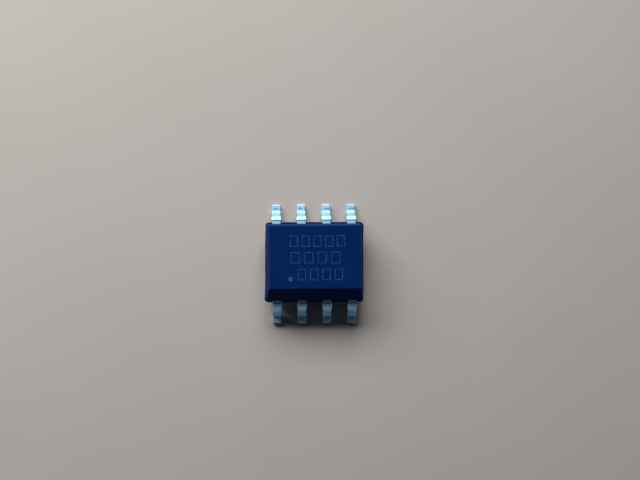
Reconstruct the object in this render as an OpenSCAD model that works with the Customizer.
// Eight-lead gull-wing small-outline package holding one power transistor.
// X runs along the rows of leads, Y across them, Z up from the plane that the feet stand on.
// The origin is on that plane, under the middle of the moulding. Lead 1 is at -X, -Y.

/* [Moulding] */
// Length of the moulding at its parting band, without resin flash
body_length = 4.90; // [4.80:0.05:5.00]
// Width of the moulding at its parting band, without resin flash
body_width = 3.90; // [3.80:0.05:4.00]
// Thickness of the moulding
body_thickness = 1.50; // [1.40:0.05:1.60]
// Air gap under the moulding
standoff = 0.15; // [0.10:0.01:0.25]
// Draft of the mould walls, in degrees from upright
draft = 12; // [5:1:15]
// Radius of the moulding's top and bottom edges
edge_radius = 0.10; // [0.05:0.01:0.14]
// Radius of the moulding's upright corners at the parting band
corner_radius = 0.18; // [0.05:0.01:0.25]
// Bevel along the pin 1 side, measured on the top face
bevel = 0.38; // [0.25:0.01:0.50]
// Resin left proud of the long walls, between the leads
dam_flash = 0.08; // [0.02:0.01:0.12]
// Resin left proud of the short walls
end_flash = 0.04; // [0.01:0.01:0.10]
// Radius of the ejector pin marks underneath
ejector_radius = 0.35; // [0.20:0.05:0.50]
// Depth of the ejector pin marks
ejector_depth = 0.03; // [0.01:0.01:0.05]
// Distance between the ejector pin marks
ejector_spacing = 2.60; // [1.50:0.10:3.20]
// Width of the gate scar, where the mould's runner broke off one end
gate_scar_width = 0.60; // [0.30:0.05:1.00]
// Height of the gate scar below the parting band
gate_scar_height = 0.12; // [0.06:0.01:0.20]

/* [Leads] */
// Distance between neighbouring leads
lead_pitch = 1.27; // [1.20:0.01:1.30]
// Distance over the tips of both rows
lead_span = 6.05; // [5.90:0.05:6.20]
// Thickness of the copper strip
strip = 0.20; // [0.15:0.01:0.24]
// Width of a lead where it leaves the moulding
lead_width = 0.44; // [0.36:0.01:0.50]
// Width over the stubs left by the cut dam bar
dam_width = 0.48; // [0.45:0.01:0.60]
// Length of the dam bar's stubs, along the lead
dam_length = 0.18; // [0.10:0.01:0.22]
// Width of a foot
foot_width = 0.41; // [0.31:0.01:0.51]
// Flat run of a lead from the wall to its first bend
shoulder = 0.16; // [0.10:0.01:0.25]
// Inside radius of both bends
bend_radius = 0.10; // [0.08:0.01:0.14]
// Lean of the leg, in degrees from upright
leg_lean = 23; // [5:1:28]

/* [Frame inside the moulding] */
// Depth of resin that grips each lead, from the wall to the plate
grip = 0.35; // [0.25:0.01:0.45]
// Width of a lead's lock, where it widens inside the wall
lock_width = 0.62; // [0.55:0.01:0.70]
// Resin between a lock and the wall
lock_cover = 0.14; // [0.08:0.01:0.20]
// Depth of the bonding bar and of the gate's post
post_depth = 0.50; // [0.40:0.01:0.60]
// Slot between the pieces of the frame
frame_gap = 0.25; // [0.20:0.01:0.35]
// Length of the die paddle
paddle_length = 3.90; // [3.20:0.05:4.20]
// Width of a tie bar
tie_width = 0.25; // [0.15:0.01:0.35]
// Distance of the first tie bar from the middle of the package
tie_first = -0.05; // [-0.40:0.05:0.10]
// Distance between the two tie bars of one end
tie_spacing = 1.20; // [0.80:0.05:1.30]
// Radius of the lock holes in the paddle
hole_radius = 0.13; // [0.08:0.01:0.16]
// Distance of the lock holes' centres from the paddle's far edge
hole_inset = 0.26; // [0.22:0.01:0.30]

/* [Die and wires] */
// Length of the die, along the rows of leads
die_length = 2.40; // [2.20:0.05:2.80]
// Width of the die
die_width = 1.50; // [1.40:0.05:1.70]
// Thickness of the die
die_thickness = 0.20; // [0.15:0.01:0.25]
// Distance of the die from the paddle's near edge
die_margin = 0.20; // [0.12:0.01:0.30]
// Thickness of the solder under the die
solder_thickness = 0.03; // [0.02:0.01:0.05]
// Solder squeezed out past each side of the die
solder_margin = 0.06; // [0.02:0.01:0.10]
// Number of bond wires from the die to the bonding bar
source_wires = 12; // [6:1:12]
// Distance between neighbouring bond wires
wire_pitch = 0.16; // [0.13:0.01:0.16]
// Radius of a bond wire
wire_radius = 0.025; // [0.015:0.001:0.030]
// Radius of the ball that joins a wire to the die
ball_radius = 0.045; // [0.035:0.001:0.050]
// Height of that ball
ball_height = 0.02; // [0.015:0.001:0.025]
// Height at which a wire of the front row starts to bend over
wire_neck = 0.06; // [0.045:0.005:0.08]
// Extra height of the back row's loops
loop_step = 0.10; // [0.05:0.01:0.12]
// Radius of the wires' first bend
loop_radius = 0.08; // [0.05:0.01:0.10]
// Distance of the front row of balls from the die's near edge
front_row = 0.30; // [0.25:0.01:0.35]
// Distance between the two rows of balls
row_step = 0.25; // [0.15:0.01:0.30]
// Distance of the gate's ball from the die's two nearest edges
gate_pad = 0.18; // [0.10:0.01:0.20]
// Distance of the wires' landings from the edges of the bonding bar and post
landing_inset = 0.20; // [0.12:0.01:0.20]

/* [Hidden] */
// Steps of every rounded edge and bend
arc_steps = 5;
// Angle between the upright planes that round the moulding's corners
corner_step = 22.5;
// Sides of a bond wire
wire_sides = 8;
// Steps of a bond wire's bend
wire_steps = 4;
// Sides of the round marks and holes
circle_sides = 48;
// How far a joined piece is sunk into the one that carries it
sunk = 0.20;
// How far a cutting tool reaches past the faces that it cuts
overcut = 0.05;
// Longer than the package, for the slabs that are crossed to make the block
far = 8;

leads_per_side = 4;
row_end = (leads_per_side - 1) / 2 * lead_pitch;

body_bottom = standoff;
body_top = standoff + body_thickness;
frame_bottom = standoff + body_thickness / 2 - strip / 2;
frame_top = frame_bottom + strip;

wall = body_width / 2;
plate_edge = wall - grip;
post_edge = plate_edge - post_depth;
paddle_near = frame_gap - post_edge;
tip = lead_span / 2;

turn = 90 - leg_lean;
outer_radius = bend_radius + strip;
first_bend = wall + shoulder;
leg_drop = frame_top - strip - (outer_radius + bend_radius) * (1 - cos(turn));
foot_start = first_bend + (outer_radius + bend_radius) * sin(turn) + leg_drop / tan(turn);
heel_start = foot_start - bend_radius * sin(turn);

bar_end = lead_pitch / 2 + lock_width / 2;
post_start = bar_end + frame_gap;
post_end = row_end + lock_width / 2;

die_near = paddle_near + die_margin;
die_bottom = frame_top + solder_thickness;
die_top = die_bottom + die_thickness;
first_wire = -die_length / 2 + gate_pad;

// Points on an arc about a centre, from one angle to another.
function arc(centre, radius, from, to, steps = arc_steps) =
    [for (i = [0:steps])
        let (a = from + (to - from) * i / steps)
        centre + radius * [cos(a), sin(a)]];

// How far the drafted wall stands in from the parting band, at a height above or below it.
function inset(height) = height * tan(draft);

// Centre of the round that joins a drafted wall to a flat face, where the wall
// starts this far out and the face lies this high above the parting band.
function edge_centre(half, height) =
    [half - inset(height - edge_radius) - edge_radius / cos(draft), height - edge_radius];

// Distance from the middle to a rounded rectangle's edge, seen along one direction.
function reach(along, across, angle) =
    (along - corner_radius) * abs(cos(angle))
    + (across - corner_radius) * abs(sin(angle))
    + corner_radius;

// Half of the moulding's outline, from the middle of its bottom face round to the
// middle of its top face. flash is the resin left proud at the parting band.
function half_outline(half, flash) =
    let (
        lower = frame_bottom - body_bottom,
        upper = body_top - frame_top,
        low = edge_centre(half, lower),
        high = edge_centre(half, upper)
    )
    concat(
        arc([low.x, frame_bottom - low.y], edge_radius, -90, -draft),
        [
            [half, frame_bottom],
            [half + flash, frame_bottom],
            [half + flash, frame_top],
            [half, frame_top]
        ],
        arc([high.x, frame_top + high.y], edge_radius, draft, 90)
    );

// The same half with the bevel in place of its rounded top edge.
function bevelled_outline(half, flash) =
    let (
        upper = body_top - frame_top,
        sharp_edge = half - inset(upper),
        drop = bevel / (1 - tan(draft)),
        lower_part = [for (p = half_outline(half, flash)) if (p.y <= frame_top) p]
    )
    concat(
        lower_part,
        [[sharp_edge + inset(drop), body_top - drop], [sharp_edge - bevel, body_top]]
    );

function reversed(points) = [for (i = [len(points) - 1:-1:0]) points[i]];
function mirrored(points) = reversed([for (p = points) [-p.x, p.y]]);

// An upright slab with the moulding's outline, seen square to one direction.
module outline_slab(angle) {
    half = reach(body_length / 2, wall, angle);
    flash = end_flash * abs(cos(angle)) + dam_flash * abs(sin(angle));
    near_half = angle == 90 ? bevelled_outline(half, flash) : half_outline(half, flash);
    rotate([0, 0, angle])
        rotate([90, 0, 0])
            linear_extrude(far, center = true)
                polygon(concat(half_outline(half, flash), mirrored(near_half)));
}

// The whole block, before anything is set into it: slabs crossed at every corner step.
module moulding_block() {
    intersection_for (angle = [0:corner_step:180 - corner_step])
        outline_slab(angle);
}

// Break-off mark of the mould's runner, on the end by leads 1 and 8, flush with the flash above it.
module gate_scar() {
    translate([-body_length / 2 - end_flash, -gate_scar_width / 2, frame_bottom - gate_scar_height])
        cube([end_flash + sunk, gate_scar_width, gate_scar_height]);
}

module ejector_marks() {
    for (side = [-1, 1])
        translate([side * ejector_spacing / 2, 0, body_bottom - overcut])
            cylinder(h = overcut + ejector_depth, r = ejector_radius, $fn = circle_sides);
}

// Side view of one lead, from its root to its tip: flat, bent down, leaning leg, bent to a flat foot.
module lead_side(root) {
    upper = [first_bend, frame_top - outer_radius];
    lower = [foot_start, outer_radius];
    polygon(concat(
        [[root, frame_top]],
        arc(upper, outer_radius, 90, 90 - turn),
        arc(lower, bend_radius, 270 - turn, 270),
        [[tip, strip], [tip, 0]],
        arc(lower, outer_radius, 270, 270 - turn),
        arc(upper, bend_radius, 90 - turn, 90),
        [[root, frame_bottom]]
    ));
}

// Half of one lead's width at points along it, seen from above.
function lead_widths(root) = [
    [root, lock_width / 2],
    [wall - lock_cover, lock_width / 2],
    [wall - lock_cover, lead_width / 2],
    [first_bend, lead_width / 2],
    [first_bend, dam_width / 2],
    [first_bend + dam_length, dam_width / 2],
    [first_bend + dam_length, lead_width / 2],
    [heel_start, lead_width / 2],
    [foot_start, foot_width / 2],
    [tip, foot_width / 2]
];

// One lead, pointing to +Y, with its root sunk into the plate that carries it.
module lead() {
    root = plate_edge - sunk;
    side = lead_widths(root);
    intersection() {
        rotate([90, 0, 90])
            linear_extrude(lead_pitch, center = true)
                lead_side(root);
        linear_extrude(body_top)
            polygon(concat(
                [for (p = side) [p.y, p.x]],
                [for (p = reversed(side)) [-p.y, p.x]]
            ));
    }
}

// Leads of one side by their place in the row, counted from -X. far_side points them to +Y.
module lead_row(places, far_side) {
    for (place = places)
        translate([place * lead_pitch - row_end, 0, 0])
            mirror([0, far_side ? 0 : 1, 0])
                lead();
}

module plate(from, to) {
    translate([from.x, from.y, frame_bottom])
        cube([to.x - from.x, to.y - from.y, strip]);
}

module moulded_body() {
    color([0.09, 0.10, 0.13])
        difference() {
            union() {
                moulding_block();
                gate_scar();
            }
            ejector_marks();
            drain_frame();
            source_frame();
            gate_lead();
            solder_layer();
            transistor_die();
            for (i = [1:source_wires])
                source_wire(i);
            gate_wire();
        }
}

// Die paddle, leads 5 to 8 and the tie bars, cut flush with both ends of the moulding.
module drain_frame() {
    cut_end = body_length / 2 + end_flash;
    color([0.80, 0.79, 0.76])
        difference() {
            union() {
                plate([-paddle_length / 2, paddle_near], [paddle_length / 2, plate_edge]);
                for (y = [tie_first, tie_first + tie_spacing])
                    plate([-cut_end, y - tie_width / 2], [cut_end, y + tie_width / 2]);
                lead_row([0:leads_per_side - 1], true);
            }
            for (place = [-1:1])
                translate([place * lead_pitch, plate_edge - hole_inset, frame_bottom - overcut])
                    cylinder(h = strip + 2 * overcut, r = hole_radius, $fn = circle_sides);
        }
}

// Leads 1 to 3 and the bonding bar that joins them.
module source_frame() {
    color([0.80, 0.79, 0.76]) {
        plate([-post_end, -plate_edge], [bar_end, -post_edge]);
        lead_row([0:leads_per_side - 2], false);
    }
}

// Lead 4 and its bonding post.
module gate_lead() {
    color([0.80, 0.79, 0.76]) {
        plate([post_start, -plate_edge], [post_end, -post_edge]);
        lead_row([leads_per_side - 1], false);
    }
}

module solder_layer() {
    color([0.62, 0.63, 0.66])
        translate([-die_length / 2 - solder_margin, die_near - solder_margin, frame_top])
            cube([die_length + 2 * solder_margin, die_width + 2 * solder_margin, solder_thickness]);
}

module transistor_die() {
    color([0.35, 0.38, 0.45])
        translate([-die_length / 2, die_near, die_bottom])
            cube([die_length, die_width, die_thickness]);
}

// One ring of a bond wire, round a centre in the wire's own upright plane.
// lean is the direction, in that plane, of the ring's first point.
function ring(centre, radius, lean) =
    [for (k = [0:wire_sides - 1])
        let (a = k * 360 / wire_sides, out = radius * cos(a))
        [centre.x + out * cos(lean), radius * sin(a), centre.y + out * sin(lean)]];

// A bond wire from a ball on the die at [from.x, from.y] to the frame at [to.x, to.y]:
// up from the ball, over in an arc, then straight down to where it meets the frame's top.
module bond_wire(from, to, neck) {
    run = norm(to - from);
    over = [loop_radius, die_top + neck];
    fall = over.y - frame_top;
    slope = atan2(fall, run - loop_radius) + asin(loop_radius / norm([run - loop_radius, fall]));
    bent = [for (i = [0:wire_steps])
        let (a = 180 - (90 + slope) * i / wire_steps)
        ring(over + loop_radius * [cos(a), sin(a)], wire_radius, a)];
    last = bent[wire_steps];
    landing = [for (p = last)
        p + (p.z - frame_top) / sin(slope) * [cos(slope), 0, -sin(slope)]];
    rings = concat(
        [
            ring([0, die_top], ball_radius, 180),
            ring([0, die_top + ball_height], ball_radius, 180),
            ring([0, die_top + ball_height + ball_radius - wire_radius], wire_radius, 180)
        ],
        bent,
        [landing]
    );
    n = wire_sides;
    top = (len(rings) - 1) * n;
    faces = concat(
        [for (k = [1:n - 2]) [0, k, k + 1]],
        [for (j = [0:len(rings) - 2], k = [0:n - 1])
            [j * n + k, (j + 1) * n + k, j * n + (k + 1) % n]],
        [for (j = [0:len(rings) - 2], k = [0:n - 1])
            [(j + 1) * n + k, (j + 1) * n + (k + 1) % n, j * n + (k + 1) % n]],
        [for (k = [1:n - 2]) [top, top + k + 1, top + k]]
    );
    color([0.85, 0.68, 0.35])
        translate([from.x, from.y, 0])
            rotate([0, 0, atan2(to.y - from.y, to.x - from.x)])
                polyhedron(points = [for (r = rings, p = r) p], faces = faces);
}

// Source wires alternate between a front and a back row of balls. Those of the back row
// loop higher and land farther out, so that the loops nest.
module source_wire(i) {
    back = i % 2;
    x = first_wire + (i - 1) * wire_pitch;
    bond_wire(
        [x, die_near + front_row + back * row_step],
        [x, back ? landing_inset - plate_edge : -post_edge - landing_inset],
        wire_neck + back * loop_step
    );
}

module gate_wire() {
    bond_wire(
        [die_length / 2 - gate_pad, die_near + gate_pad],
        [post_start + landing_inset, -post_edge - landing_inset],
        wire_neck
    );
}

moulded_body();
drain_frame();
source_frame();
gate_lead();
solder_layer();
transistor_die();
for (i = [1:source_wires])
    source_wire(i);
gate_wire();
